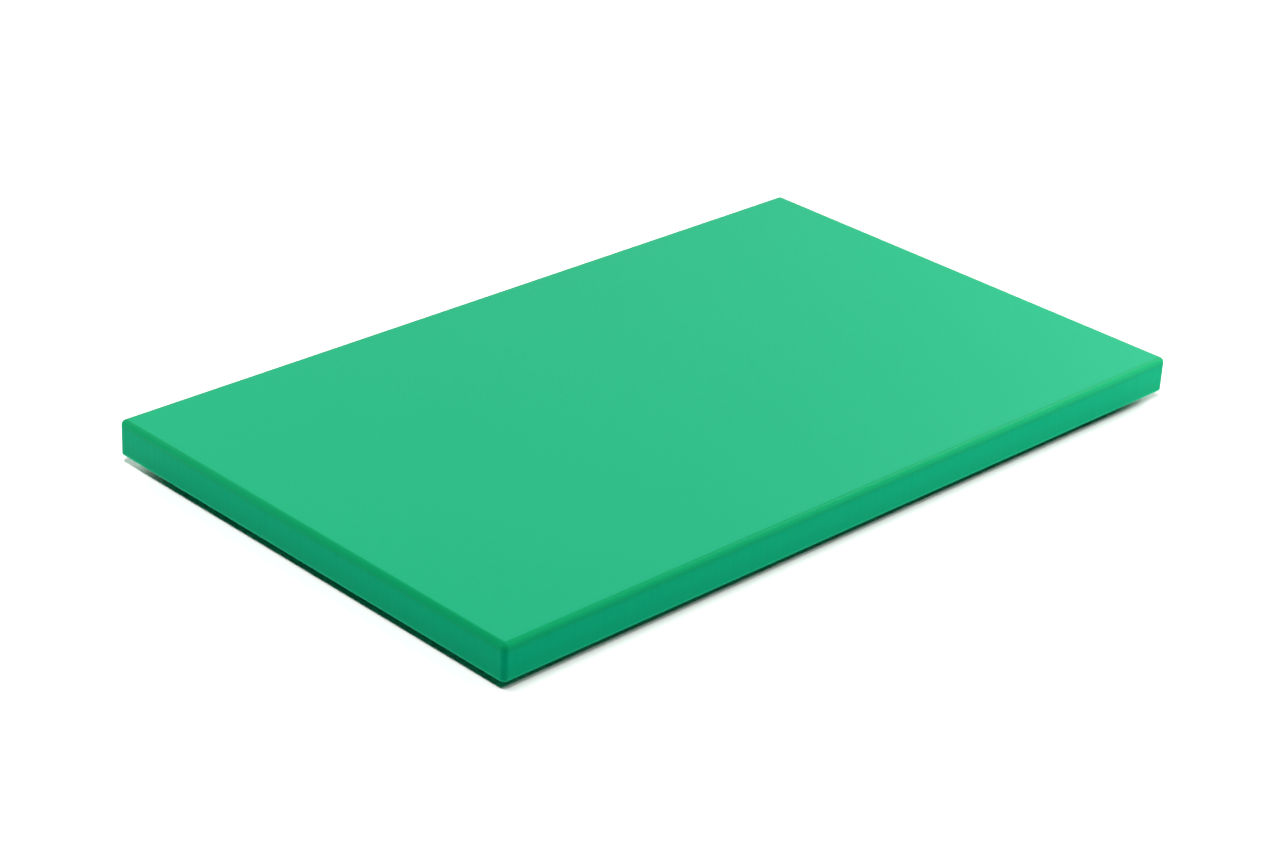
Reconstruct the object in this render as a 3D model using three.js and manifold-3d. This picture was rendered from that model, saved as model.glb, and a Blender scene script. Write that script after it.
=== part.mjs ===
// Plastic cutting board: a thick polyethylene slab that stands on four push-in rubber feet.
// Millimetres, +Z up. The origin is on the worktop, under the middle of the board.
import * as THREE from 'three';
import { mergeVertices } from 'three/addons/utils/BufferGeometryUtils.js';
import Module from 'manifold-3d';

// Slab
const boardLength = 500;
const boardWidth = 300;
const boardThickness = 20;
const cornerRadius = 3; // upright corners, seen from above
const topEdgeRadius = 3; // rounded-over rim of the working face
const undersideBevel = 0.5; // broken edge of the underside
const leastCorner = 0.1; // no moulded or milled corner is sharper than this
const cornerSteps = 8;
const topEdgeSteps = 8;

// Feet: a round head under the slab, and a ribbed stem pushed into a blind hole
const footInset = 35; // from the slab's sides to the middle of a foot
const footHeight = 4; // worktop to underside
const headDiameter = 16;
const headEdgeRadius = 1;
const dishDiameter = 8; // shallow hollow that lets the head grip
const dishDepth = 0.4;
const dishSlope = 1;
const stemDiameter = 6.6;
const stemLength = 7;
const stemLeadIn = 1; // tapered tip that finds the hole
const neckLength = 0.6; // plain stretch between the head and the first rib
const ribCount = 3;
const ribHeight = 0.5; // how far a rib stands out of the stem
const ribLip = 0.3; // steep side of a rib, which faces the head
const ribClearance = 0.2; // between a rib and the wall of its hole
const tipClearance = 0.5; // between the stem's tip and the end of its hole
const edgeSteps = 4;
const roundSides = 32;

// The ribs share the stem between its neck and its tip
const ribPitch = (stemLength - neckLength - stemLeadIn) / ribCount;

// Hole sizes follow the stem that goes into them
const holeDiameter = stemDiameter + 2 * (ribHeight + ribClearance);
const holeDepth = stemLength + tipClearance;

const slabMaterial = new THREE.MeshStandardMaterial({
  color: 0x37be8a,
  roughness: 0.38,
  metalness: 0,
});
const footMaterial = new THREE.MeshStandardMaterial({
  color: 0x242628,
  roughness: 0.85,
  metalness: 0,
});

const wasm = await Module();
wasm.setup();

// Closed geometry to solid, and back
function toSolid(geometry) {
  const bare = geometry.clone();
  bare.deleteAttribute('normal');
  bare.deleteAttribute('uv');
  const merged = mergeVertices(bare, 1e-4);
  return new wasm.Manifold(new wasm.Mesh({
    numProp: 3,
    vertProperties: new Float32Array(merged.attributes.position.array),
    triVerts: new Uint32Array(merged.index.array),
  }));
}

function toGeometry(solid) {
  const mesh = solid.getMesh();
  const geometry = new THREE.BufferGeometry();
  geometry.setAttribute('position', new THREE.BufferAttribute(mesh.vertProperties, mesh.numProp));
  geometry.setIndex(new THREE.BufferAttribute(mesh.triVerts, 1));
  geometry.computeVertexNormals();
  return geometry;
}

// The slab's outline drawn in by inset, as one ring of points at height z
function outlineRing(inset, z) {
  const radius = Math.max(cornerRadius - inset, leastCorner);
  const x = boardLength / 2 - inset - radius;
  const y = boardWidth / 2 - inset - radius;
  const centres = [[x, y], [-x, y], [-x, -y], [x, -y]];
  const ring = [];
  centres.forEach(([centreX, centreY], corner) => {
    for (let step = 0; step <= cornerSteps; step += 1) {
      const angle = (corner + step / cornerSteps) * Math.PI / 2;
      ring.push(new THREE.Vector3(
        centreX + radius * Math.cos(angle),
        centreY + radius * Math.sin(angle),
        z,
      ));
    }
  });
  return ring;
}

// Closed skin over rings of equal length, listed from the bottom up
function loft(rings) {
  const count = rings[0].length;
  const last = (rings.length - 1) * count;
  const triangles = [];
  for (let level = 0; level < rings.length - 1; level += 1) {
    for (let i = 0; i < count; i += 1) {
      const low = level * count + i;
      const lowNext = level * count + (i + 1) % count;
      triangles.push(low, lowNext, lowNext + count);
      triangles.push(low, lowNext + count, low + count);
    }
  }
  for (let i = 1; i < count - 1; i += 1) {
    triangles.push(0, i + 1, i);
    triangles.push(last, last + i, last + i + 1);
  }
  const geometry = new THREE.BufferGeometry().setFromPoints(rings.flat());
  geometry.setIndex(triangles);
  return geometry;
}

// Middle of each foot, with the side of the board that it stands on
const footPlaces = [];
for (const [depthName, depthSide] of [['front', -1], ['rear', 1]]) {
  for (const [sideName, side] of [['left', -1], ['right', 1]]) {
    footPlaces.push({
      name: `foot_${depthName}_${sideName}`,
      x: side * (boardLength / 2 - footInset),
      y: depthSide * (boardWidth / 2 - footInset),
    });
  }
}

// Slab, from its broken bottom edge to its rounded top rim, with a blind hole for each foot
function makeSlab() {
  const rings = [outlineRing(undersideBevel, 0), outlineRing(0, undersideBevel)];
  for (let step = 0; step <= topEdgeSteps; step += 1) {
    const angle = (step / topEdgeSteps) * Math.PI / 2;
    const inset = topEdgeRadius * (1 - Math.cos(angle));
    const drop = topEdgeRadius * (1 - Math.sin(angle));
    rings.push(outlineRing(inset, boardThickness - drop));
  }
  let slab = toSolid(loft(rings));
  const cutterLength = 2 * holeDepth; // half of it is in the slab, half below it
  for (const place of footPlaces) {
    const cutter = new THREE.CylinderGeometry(
      holeDiameter / 2, holeDiameter / 2, cutterLength, roundSides,
    );
    cutter.rotateX(Math.PI / 2);
    cutter.translate(place.x, place.y, 0);
    slab = slab.subtract(toSolid(cutter));
  }
  return toGeometry(slab);
}

// Half section of a foot, from the middle of its dish round to the tip of its stem
function footSection() {
  const headRadius = headDiameter / 2;
  const stemRadius = stemDiameter / 2;
  const points = [
    new THREE.Vector2(0, dishDepth),
    new THREE.Vector2(dishDiameter / 2 - dishSlope, dishDepth),
    new THREE.Vector2(dishDiameter / 2, 0),
  ];
  for (let step = 0; step <= edgeSteps; step += 1) {
    const angle = (step / edgeSteps) * Math.PI / 2;
    points.push(new THREE.Vector2(
      headRadius - headEdgeRadius * (1 - Math.sin(angle)),
      headEdgeRadius * (1 - Math.cos(angle)),
    ));
  }
  points.push(new THREE.Vector2(headRadius, footHeight));
  points.push(new THREE.Vector2(stemRadius, footHeight));
  for (let rib = 0; rib < ribCount; rib += 1) {
    const root = footHeight + neckLength + rib * ribPitch;
    points.push(new THREE.Vector2(stemRadius, root));
    points.push(new THREE.Vector2(stemRadius + ribHeight, root + ribLip));
  }
  points.push(new THREE.Vector2(stemRadius, footHeight + stemLength - stemLeadIn));
  points.push(new THREE.Vector2(stemRadius - stemLeadIn, footHeight + stemLength));
  points.push(new THREE.Vector2(0, footHeight + stemLength));
  return points;
}

function makeFoot() {
  const foot = new THREE.LatheGeometry(footSection(), roundSides);
  foot.rotateX(Math.PI / 2);
  return foot;
}

function addPart(parent, name, geometry, material) {
  const mesh = new THREE.Mesh(geometry, material);
  mesh.name = name;
  parent.add(mesh);
  return mesh;
}

const cuttingBoard = new THREE.Group();
const slab = addPart(cuttingBoard, 'board', makeSlab(), slabMaterial);
slab.position.z = footHeight;

const feet = new THREE.Group();
cuttingBoard.add(feet);
for (const place of footPlaces) {
  const foot = addPart(feet, place.name, makeFoot(), footMaterial);
  foot.position.set(place.x, place.y, 0);
}

export default cuttingBoard;
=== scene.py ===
import bmesh
import bpy
import math
from mathutils import Matrix, Vector


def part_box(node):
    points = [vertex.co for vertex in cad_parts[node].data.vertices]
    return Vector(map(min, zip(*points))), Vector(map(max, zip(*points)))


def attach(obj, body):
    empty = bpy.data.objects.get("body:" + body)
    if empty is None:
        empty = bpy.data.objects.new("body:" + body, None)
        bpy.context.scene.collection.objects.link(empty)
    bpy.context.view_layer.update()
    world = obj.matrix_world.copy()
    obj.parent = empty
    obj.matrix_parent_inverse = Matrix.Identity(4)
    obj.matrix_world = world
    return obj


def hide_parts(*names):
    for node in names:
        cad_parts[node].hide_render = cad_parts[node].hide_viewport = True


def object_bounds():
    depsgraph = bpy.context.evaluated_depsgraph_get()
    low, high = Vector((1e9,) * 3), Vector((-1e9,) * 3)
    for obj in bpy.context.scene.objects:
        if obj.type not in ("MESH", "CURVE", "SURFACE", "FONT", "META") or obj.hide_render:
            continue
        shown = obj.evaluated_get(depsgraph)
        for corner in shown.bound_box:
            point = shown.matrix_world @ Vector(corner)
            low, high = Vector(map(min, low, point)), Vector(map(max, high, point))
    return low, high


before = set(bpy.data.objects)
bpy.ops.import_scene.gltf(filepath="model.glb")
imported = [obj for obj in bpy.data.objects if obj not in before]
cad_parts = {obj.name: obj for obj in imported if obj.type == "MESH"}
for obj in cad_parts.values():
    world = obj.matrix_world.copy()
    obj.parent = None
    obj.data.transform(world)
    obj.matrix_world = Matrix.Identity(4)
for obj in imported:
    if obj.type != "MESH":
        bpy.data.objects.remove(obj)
cadLow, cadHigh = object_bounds()  # the CAD box, before anything is dressed
print("frame loaded, nodes:", ", ".join(sorted(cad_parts)))


# selection helpers: everything below is picked by place or by normal
def clearSelection():
    bpy.ops.object.select_all(action="DESELECT")


def startEditing(piece):
    clearSelection()
    bpy.context.view_layer.objects.active = piece
    piece.select_set(True)
    bpy.ops.object.mode_set(mode="EDIT")


def stopEditing():
    bpy.ops.object.mode_set(mode="OBJECT")


def pickEdges(piece, wanted):
    bpy.ops.mesh.select_mode(type="EDGE")
    bpy.ops.mesh.select_all(action="DESELECT")
    mesh = bmesh.from_edit_mesh(piece.data)
    for edge in mesh.edges:
        edge.select_set(wanted(edge.verts[0].co, edge.verts[1].co))
    bmesh.update_edit_mesh(piece.data)


def pickFaces(piece, wanted):
    bpy.ops.mesh.select_mode(type="FACE")
    bpy.ops.mesh.select_all(action="DESELECT")
    mesh = bmesh.from_edit_mesh(piece.data)
    for face in mesh.faces:
        face.select_set(wanted(face))
    bmesh.update_edit_mesh(piece.data)


facing = 0.9  # least normal Z of a face that looks up, and with a minus of one that looks down


def near(a, b, slack=2e-5):
    return abs(a - b) < slack


# material helpers
noiseRange = (0.25, 0.75)  # where most values of a noise texture lie
noiseKinds = {  # detail and roughness of each texture
    "cloud": (4, 0.55),
    "grain": (3, 0.6),
    "streak": (2, 0.5),
    "rubber": (4, 0.6),
}


def newMaterial(name):
    material = bpy.data.materials.new(name)
    material.use_nodes = True
    nodes = material.node_tree.nodes
    return material, nodes, material.node_tree.links, nodes["Principled BSDF"]


def addNode(nodes, kind, **sockets):
    node = nodes.new(kind)
    for name, value in sockets.items():
        node.inputs[name.replace("_", " ")].default_value = value
    return node


def addNoise(nodes, links, vector, scale, kind):
    detail, roughness = noiseKinds[kind]
    noise = addNode(nodes, "ShaderNodeTexNoise", Scale=scale, Detail=detail, Roughness=roughness)
    links.new(vector, noise.inputs["Vector"])
    return noise.outputs["Fac"]


def mapRange(nodes, links, value, low, high):
    start, end = noiseRange
    ranger = addNode(nodes, "ShaderNodeMapRange", From_Min=start, From_Max=end, To_Min=low, To_Max=high)
    links.new(value, ranger.inputs["Value"])
    return ranger.outputs["Result"]


def mixColour(nodes, links, factor, first, second):
    mixer = nodes.new("ShaderNodeMix")
    mixer.data_type = "RGBA"
    links.new(factor, mixer.inputs[0])
    mixer.inputs[6].default_value = (*first, 1)  # the two colour sockets
    mixer.inputs[7].default_value = (*second, 1)
    return mixer.outputs[2]


def shadeColour(nodes, links, colour, shade):
    mixer = nodes.new("ShaderNodeMix")
    mixer.data_type = "RGBA"
    mixer.blend_type = "MULTIPLY"
    mixer.inputs[0].default_value = 1
    links.new(colour, mixer.inputs[6])
    links.new(shade, mixer.inputs[7])
    return mixer.outputs[2]


def addBump(nodes, links, height, distance, before=None):
    bump = addNode(nodes, "ShaderNodeBump", Strength=1.0, Distance=distance)
    links.new(height, bump.inputs["Height"])
    if before is not None:
        links.new(before, bump.inputs["Normal"])
    return bump.outputs["Normal"]


# finishes of the slab: the pressed faces of the sheet, the routed rim and the milled sides
plasticIor = 1.5
sheetFinish = {
    "tone": (0.000, 0.455, 0.192),
    "toneDeep": (0.000, 0.442, 0.186),
    "roughness": (0.46, 0.54),
    "specular": 0.5,
    "specularTint": (0.0, 1.0, 1.0),
    "cloudScale": 9,
    "grainScale": 900,
    "grainDepth": 0.000006,
}
edgeTonesWithPaintedLight = [  # share of the thickness, from the underside up, and the colour there; the lighter broken lower edge is a painted highlight, the darker lower band a painted shade, and the top stops darken into the rim
    (0.000, (0.012, 0.560, 0.275)),  # painted highlight: the broken lower edge is coloured lighter
    (0.035, (0.012, 0.560, 0.275)),
    # painted shade: the lower part of the side is coloured darker
    (0.070, (0.000, 0.404, 0.187)),
    (0.250, (0.000, 0.404, 0.187)),
    (0.480, (0.000, 0.432, 0.204)),
    (0.750, (0.000, 0.434, 0.205)),
    (0.805, (0.000, 0.412, 0.184)),
    (0.865, (0.002, 0.406, 0.158)),
    (0.920, (0.004, 0.419, 0.151)),
    (1.000, (0.004, 0.419, 0.151)),
]
rimFinish = {
    "toneByHeight": edgeTonesWithPaintedLight,
    "cloudShade": (0.993, 1.007),
    "roughness": (0.30, 0.36),
    "specular": 0.06,
    "specularTint": (0.0, 1.0, 1.0),
    "cloudScale": 60,
    "grainScale": 1500,
    "grainDepth": 0.000004,
}
sideFinish = {
    "toneByHeight": edgeTonesWithPaintedLight,
    "cloudShade": (0.993, 1.007),
    "roughness": (0.36, 0.46),
    "specular": 0.04,
    "specularTint": (0.0, 1.0, 1.0),
    "cloudScale": 40,
    "grainScale": 1300,
    "grainDepth": 0.000004,
    "streakScale": 560,  # milling streaks run up the side, under 2 mm apart
    "streakRise": 12,
    "streakDepth": 0.000022,
    "streakShade": (0.96, 1.04),
}


def toneByHeight(nodes, links, place, stops):
    low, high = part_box("board")
    split = nodes.new("ShaderNodeSeparateXYZ")
    links.new(place, split.inputs["Vector"])
    share = addNode(nodes, "ShaderNodeMapRange", From_Min=low.z, From_Max=high.z)
    links.new(split.outputs["Z"], share.inputs["Value"])
    ramp = nodes.new("ShaderNodeValToRGB")
    links.new(share.outputs["Result"], ramp.inputs["Fac"])
    points = ramp.color_ramp.elements
    points.remove(points[1])
    for index, (height, colour) in enumerate(stops):
        point = points[0] if index == 0 else points.new(height)
        point.position = height
        point.color = (*colour, 1)
    return ramp.outputs["Color"]


def makePlastic(name, finish):
    material, nodes, links, shader = newMaterial(name)
    place = nodes.new("ShaderNodeTexCoord").outputs["Object"]
    cloud = addNoise(nodes, links, place, finish["cloudScale"], "cloud")
    if "toneByHeight" in finish:
        tone = toneByHeight(nodes, links, place, finish["toneByHeight"])
        tone = shadeColour(nodes, links, tone, mapRange(nodes, links, cloud, *finish["cloudShade"]))
    else:
        tone = mixColour(nodes, links, cloud, finish["tone"], finish["toneDeep"])
    grain = addNoise(nodes, links, place, finish["grainScale"], "grain")
    links.new(mapRange(nodes, links, grain, *finish["roughness"]), shader.inputs["Roughness"])
    normal = addBump(nodes, links, grain, finish["grainDepth"])
    if "streakScale" in finish:
        stretch = addNode(nodes, "ShaderNodeMapping")
        along = finish["streakScale"]
        stretch.inputs["Scale"].default_value = (along, along, finish["streakRise"])
        links.new(place, stretch.inputs["Vector"])
        streak = addNoise(nodes, links, stretch.outputs["Vector"], 1, "streak")
        tone = shadeColour(nodes, links, tone, mapRange(nodes, links, streak, *finish["streakShade"]))
        normal = addBump(nodes, links, streak, finish["streakDepth"], normal)
    links.new(tone, shader.inputs["Base Color"])
    links.new(normal, shader.inputs["Normal"])
    shader.inputs["IOR"].default_value = plasticIor
    shader.inputs["Specular IOR Level"].default_value = finish["specular"]
    shader.inputs["Specular Tint"].default_value = (*finish["specularTint"], 1)
    return material


# the slab
slabSettings = {
    "rimRadius": 0.003,
    "rimSteps": 12,
    "undersideBreak": 0.0005,
    "undersideSteps": 3,
    "flatMargin": 0.0003,  # keeps the flat faces' shading flat up to the rim
    "smoothAngle": 30,
}


def modelSlab():
    low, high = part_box("board")
    clearSelection()
    bpy.ops.mesh.primitive_cube_add(size=1, location=(low + high) / 2, scale=high - low)
    slab = bpy.context.object
    slab.name = "boardSlab"
    bpy.ops.object.transform_apply(location=True, rotation=False, scale=True)
    startEditing(slab)
    upright = lambda a, b: not near(a.z, b.z)
    topEdge = lambda a, b: near(a.z, high.z) and near(b.z, high.z)
    pickEdges(slab, lambda a, b: upright(a, b) or topEdge(a, b))
    bpy.ops.mesh.bevel(
        offset=slabSettings["rimRadius"], segments=slabSettings["rimSteps"], profile=0.5, affect="EDGES"
    )
    pickEdges(slab, lambda a, b: near(a.z, low.z) and near(b.z, low.z))
    bpy.ops.mesh.bevel(
        offset=slabSettings["undersideBreak"], segments=slabSettings["undersideSteps"], affect="EDGES"
    )
    leastFlat = (high.z - low.z) * (high.y - low.y) / 2
    pickFaces(slab, lambda face: face.calc_area() > leastFlat)
    bpy.ops.mesh.inset(thickness=slabSettings["flatMargin"], depth=0, use_individual=True)
    stopEditing()
    return slab


def paintSlab(slab):
    finishes = [
        makePlastic("sheetFace", sheetFinish),
        makePlastic("routedRim", rimFinish),
        makePlastic("milledSide", sideFinish),
    ]
    for finish in finishes:
        slab.data.materials.append(finish)
    middle = (cadLow.z + cadHigh.z) / 2
    isFace = lambda face: near(abs(face.normal.z), 1, 1e-4)
    isRim = lambda face: 1e-3 < abs(face.normal.z) < 1 - 1e-4 and face.calc_center_median().z > middle
    startEditing(slab)
    for index, wanted in [(0, isFace), (1, isRim), (2, lambda face: not isFace(face) and not isRim(face))]:
        pickFaces(slab, wanted)
        slab.active_material_index = index
        bpy.ops.object.material_slot_assign()
    stopEditing()


# the feet: one is modelled, the others are copies
footSettings = {
    "sides": 64,
    "edgeRadius": 0.001,
    "edgeSteps": 5,
    "dishDiameter": 0.008,
    "dishSlope": 0.001,
    "dishDepth": 0.0004,
    "stemDiameter": 0.0066,
    "stemLeadIn": 0.001,
    "neckLength": 0.0006,
    "ribs": 3,
    "ribHeight": 0.0005,
    "ribLip": 0.0003,
    "smoothAngle": 35,
}
rubberFinish = {
    "tone": (0.020, 0.021, 0.022),
    "toneDeep": (0.013, 0.014, 0.015),
    "roughness": (0.72, 0.9),
    "grainScale": 1800,
    "grainDepth": 0.00003,
}


def makeRubber():
    material, nodes, links, shader = newMaterial("footRubber")
    place = nodes.new("ShaderNodeTexCoord").outputs["Object"]
    grain = addNoise(nodes, links, place, rubberFinish["grainScale"], "rubber")
    tone = mixColour(nodes, links, grain, rubberFinish["tone"], rubberFinish["toneDeep"])
    links.new(tone, shader.inputs["Base Color"])
    links.new(mapRange(nodes, links, grain, *rubberFinish["roughness"]), shader.inputs["Roughness"])
    links.new(addBump(nodes, links, grain, rubberFinish["grainDepth"]), shader.inputs["Normal"])
    return material


def modelFoot(node, name):
    low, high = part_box(node)
    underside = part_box("board")[0].z
    centre = (low + high) / 2
    headRadius = (high.x - low.x) / 2
    stemRadius = footSettings["stemDiameter"] / 2
    clearSelection()
    bpy.ops.mesh.primitive_cylinder_add(
        vertices=footSettings["sides"],
        radius=headRadius,
        depth=underside - low.z,
        location=(centre.x, centre.y, (underside + low.z) / 2),
    )
    foot = bpy.context.object
    foot.name = name
    bpy.ops.object.transform_apply(location=True, rotation=False, scale=False)
    startEditing(foot)

    # shallow dish in the base, then the rounded lower edge
    pickFaces(foot, lambda face: face.normal.z < -facing)
    bpy.ops.mesh.inset(thickness=headRadius - footSettings["dishDiameter"] / 2, depth=0)
    bpy.ops.mesh.inset(thickness=footSettings["dishSlope"], depth=0)
    bpy.ops.transform.translate(value=(0, 0, footSettings["dishDepth"]))
    onRim = lambda v: near(v.z, low.z) and (v.xy - centre.xy).length > headRadius * 0.99
    pickEdges(foot, lambda a, b: onRim(a) and onRim(b))
    bpy.ops.mesh.bevel(
        offset=footSettings["edgeRadius"], segments=footSettings["edgeSteps"], affect="EDGES"
    )

    # ribbed stem, drawn up from the head step by step
    pickFaces(foot, lambda face: face.normal.z > facing)
    bpy.ops.mesh.inset(thickness=headRadius - stemRadius, depth=0)
    stemRadiusNow = stemRadius
    heightNow = underside
    ribZone = high.z - underside - footSettings["neckLength"] - footSettings["stemLeadIn"]
    ribRise = ribZone / footSettings["ribs"] - footSettings["ribLip"]
    steps = [(footSettings["neckLength"], stemRadius)]
    for rib in range(footSettings["ribs"]):
        steps.append((footSettings["ribLip"], stemRadius + footSettings["ribHeight"]))
        steps.append((ribRise, stemRadius))
    steps.append((footSettings["stemLeadIn"], stemRadius - footSettings["stemLeadIn"]))
    for rise, radius in steps:
        bpy.ops.mesh.extrude_region_move(TRANSFORM_OT_translate={"value": (0, 0, rise)})
        heightNow += rise
        spread = radius / stemRadiusNow
        bpy.ops.transform.resize(value=(spread, spread, 1), center_override=(centre.x, centre.y, heightNow))
        stemRadiusNow = radius
    stopEditing()
    bpy.ops.object.shade_smooth_by_angle(angle=math.radians(footSettings["smoothAngle"]))
    return foot


def copyFoot(first, fromNode, toNode, name):
    clearSelection()
    first.select_set(True)
    bpy.context.view_layer.objects.active = first
    bpy.ops.object.duplicate(linked=False)
    copy = bpy.context.object
    copy.name = name
    bpy.ops.transform.translate(value=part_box(toNode)[0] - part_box(fromNode)[0])
    bpy.ops.object.transform_apply(location=True, rotation=False, scale=False)
    return copy


# blind holes for the stems, cut with a plain drill
drillSettings = {"sides": 48, "diameter": 0.008, "depth": 0.0075}


def drillSlab(slab, nodes):
    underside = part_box("board")[0].z
    for node in nodes:
        low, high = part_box(node)
        centre = (low + high) / 2
        clearSelection()
        bpy.ops.mesh.primitive_cylinder_add(
            vertices=drillSettings["sides"],
            radius=drillSettings["diameter"] / 2,
            depth=2 * drillSettings["depth"],
            location=(centre.x, centre.y, underside),
        )
        drill = bpy.context.object
        clearSelection()
        slab.select_set(True)
        bpy.context.view_layer.objects.active = slab
        cut = slab.modifiers.new("drill", "BOOLEAN")
        cut.operation = "DIFFERENCE"
        cut.solver = "EXACT"
        cut.object = drill
        bpy.ops.object.modifier_apply(modifier=cut.name)
        bpy.data.objects.remove(drill)


slab = modelSlab()
footNodes = {
    "foot_front_left": "footFrontLeft",
    "foot_front_right": "footFrontRight",
    "foot_rear_left": "footRearLeft",
    "foot_rear_right": "footRearRight",
}
drillSlab(slab, footNodes)
paintSlab(slab)
clearSelection()
slab.select_set(True)
bpy.context.view_layer.objects.active = slab
bpy.ops.object.shade_smooth_by_angle(angle=math.radians(slabSettings["smoothAngle"]))
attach(slab, "root")
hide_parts("board")
print("slab modelled, faces:", len(slab.data.polygons))

firstNode = "foot_front_left"
firstFoot = modelFoot(firstNode, footNodes[firstNode])
firstFoot.data.materials.append(makeRubber())
feet = {firstNode: firstFoot}
for node, name in footNodes.items():
    if node != firstNode:
        feet[node] = copyFoot(firstFoot, firstNode, node, name)
boardPieces = [slab, *feet.values()]
for node, foot in feet.items():  # only now, or the copies would carry the first foot's node too
    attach(foot, "root")
    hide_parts(node)
print("feet modelled, faces each:", len(firstFoot.data.polygons))


# floor: shown white, bounces less light than it shows, and keeps the board's shadow
floorSettings = {"size": 6, "colour": 0.53, "seenColour": 1.0}


def seenRays(nodes, links):
    path = nodes.new("ShaderNodeLightPath")
    seen = path.outputs["Is Camera Ray"]
    for ray in ["Is Glossy Ray", "Is Transmission Ray"]:
        either = nodes.new("ShaderNodeMath")
        either.operation = "MAXIMUM"
        links.new(seen, either.inputs[0])
        links.new(path.outputs[ray], either.inputs[1])
        seen = either.outputs["Value"]
    return seen


def makeFloor():
    clearSelection()
    bpy.ops.mesh.primitive_plane_add(size=floorSettings["size"], location=(0, 0, cadLow.z))
    floor = bpy.context.object
    floor.name = "floor"
    material, nodes, links, shader = newMaterial("whiteFloor")
    nodes.remove(shader)
    paint = nodes.new("ShaderNodeBsdfDiffuse")
    tones = [(floorSettings[key],) * 3 for key in ("colour", "seenColour")]
    links.new(mixColour(nodes, links, seenRays(nodes, links), *tones), paint.inputs["Color"])
    links.new(paint.outputs["BSDF"], nodes["Material Output"].inputs["Surface"])
    floor.data.materials.append(material)
    return floor


floor = makeFloor()
print("floor laid")

# soft studio light, placed by compass and height; the board and the floor have lamps of their own
# the board's lamps began as a least-squares fit to the photo's colours and were then trimmed
lampSettings = {
    "leftSoftbox": {"azimuth": 165, "elevation": 46, "distance": 1.6, "size": (0.8, 0.5), "power": 12.7},
    "leftNear": {"azimuth": 120, "elevation": 30, "distance": 0.95, "size": (0.45, 0.35), "power": 1.05},
    "rightOverhead": {"azimuth": 344, "elevation": 56, "distance": 2.2, "size": (0.9, 0.9), "power": 4.1},
    "rightSide": {"azimuth": 355, "elevation": 46, "distance": 1.6, "size": (0.8, 0.5), "power": 8.3},
    "rightSoftbox": {"azimuth": 314, "elevation": 27, "distance": 2.5, "size": (4.2, 2.1), "power": 31},
    "rightNear": {"azimuth": 350, "elevation": 30, "distance": 0.95, "size": (0.45, 0.35), "power": 1.6},
    "rightStrip": {"azimuth": 305, "elevation": 14, "distance": 0.86, "size": (1.4, 0.38), "power": 1.9},
    "rightLow": {"azimuth": 310, "elevation": 4, "distance": 0.75, "size": (0.5, 0.22), "power": 0.62},
}
floorLampSettings = {
    "floorSoftbox": {"azimuth": 162, "elevation": 83, "distance": 16, "size": (9.6, 4.2), "power": 2560},
    "floorFill": {"azimuth": 300, "elevation": 55, "distance": 2.5, "size": (0.8, 0.5), "power": 15},
    "floorBack": {"azimuth": 45, "elevation": 9, "distance": 3, "size": (3.0, 0.45), "power": 300},
}


def makeGroup(name, pieces):
    group = bpy.data.collections.new(name)
    for piece in pieces:
        group.objects.link(piece)
    return group


def placeLamp(name, settings, lit):
    azimuth = math.radians(settings["azimuth"])  # from +X towards +Y
    elevation = math.radians(settings["elevation"])
    away = Vector((
        math.cos(azimuth) * math.cos(elevation),
        math.sin(azimuth) * math.cos(elevation),
        math.sin(elevation),
    ))
    bpy.ops.object.light_add(type="AREA", location=away * settings["distance"])
    lamp = bpy.context.object
    lamp.name = name
    lamp.rotation_euler = away.to_track_quat("Z", "Y").to_euler()
    lamp.data.shape = "RECTANGLE"
    lamp.data.size, lamp.data.size_y = settings["size"]
    lamp.data.energy = settings["power"]
    lamp.light_linking.receiver_collection = lit


boardGroup = makeGroup("litByBoardLamps", boardPieces)
floorGroup = makeGroup("litByFloorLamp", [floor])
for name, settings in lampSettings.items():
    placeLamp(name, settings, boardGroup)
for name, settings in floorLampSettings.items():
    placeLamp(name, settings, floorGroup)
world = bpy.data.worlds.new("studio")
bpy.context.scene.world = world
world.use_nodes = True
background = world.node_tree.nodes["Background"]
background.inputs["Color"].default_value = (1, 1, 1, 1)  # white to look at, gives no light of its own
worldLinks = world.node_tree.links
worldLinks.new(seenRays(world.node_tree.nodes, worldLinks), background.inputs["Strength"])
print("lamps placed:", ", ".join([*lampSettings, *floorLampSettings]))

# camera at the photograph's place, from a pinhole fit to the slab's outlines
cameraSettings = {
    "place": (-1.1004, -1.0636, 0.7628),
    "heading": 44.446,  # degrees from +X towards +Y
    "tilt": 26.512,  # degrees below level
    "roll": 3.100,  # the right side of the picture is lifted
    "lens": 88.294,
    "sensor": 36,
}


def placeCamera():
    heading = math.radians(cameraSettings["heading"])
    tilt = math.radians(cameraSettings["tilt"])
    look = Vector((
        math.cos(heading) * math.cos(tilt),
        math.sin(heading) * math.cos(tilt),
        -math.sin(tilt),
    ))
    bpy.ops.object.camera_add(location=cameraSettings["place"])
    camera = bpy.context.object
    level = look.to_track_quat("-Z", "Y").to_matrix()
    turned = level @ Matrix.Rotation(math.radians(cameraSettings["roll"]), 3, "Z")
    camera.rotation_euler = turned.to_euler()
    camera.data.lens = cameraSettings["lens"]
    camera.data.sensor_width = cameraSettings["sensor"]
    camera.data.dof.use_dof = False
    bpy.context.scene.camera = camera


placeCamera()
bpy.context.scene.view_settings.view_transform = "Standard"
print("camera placed")
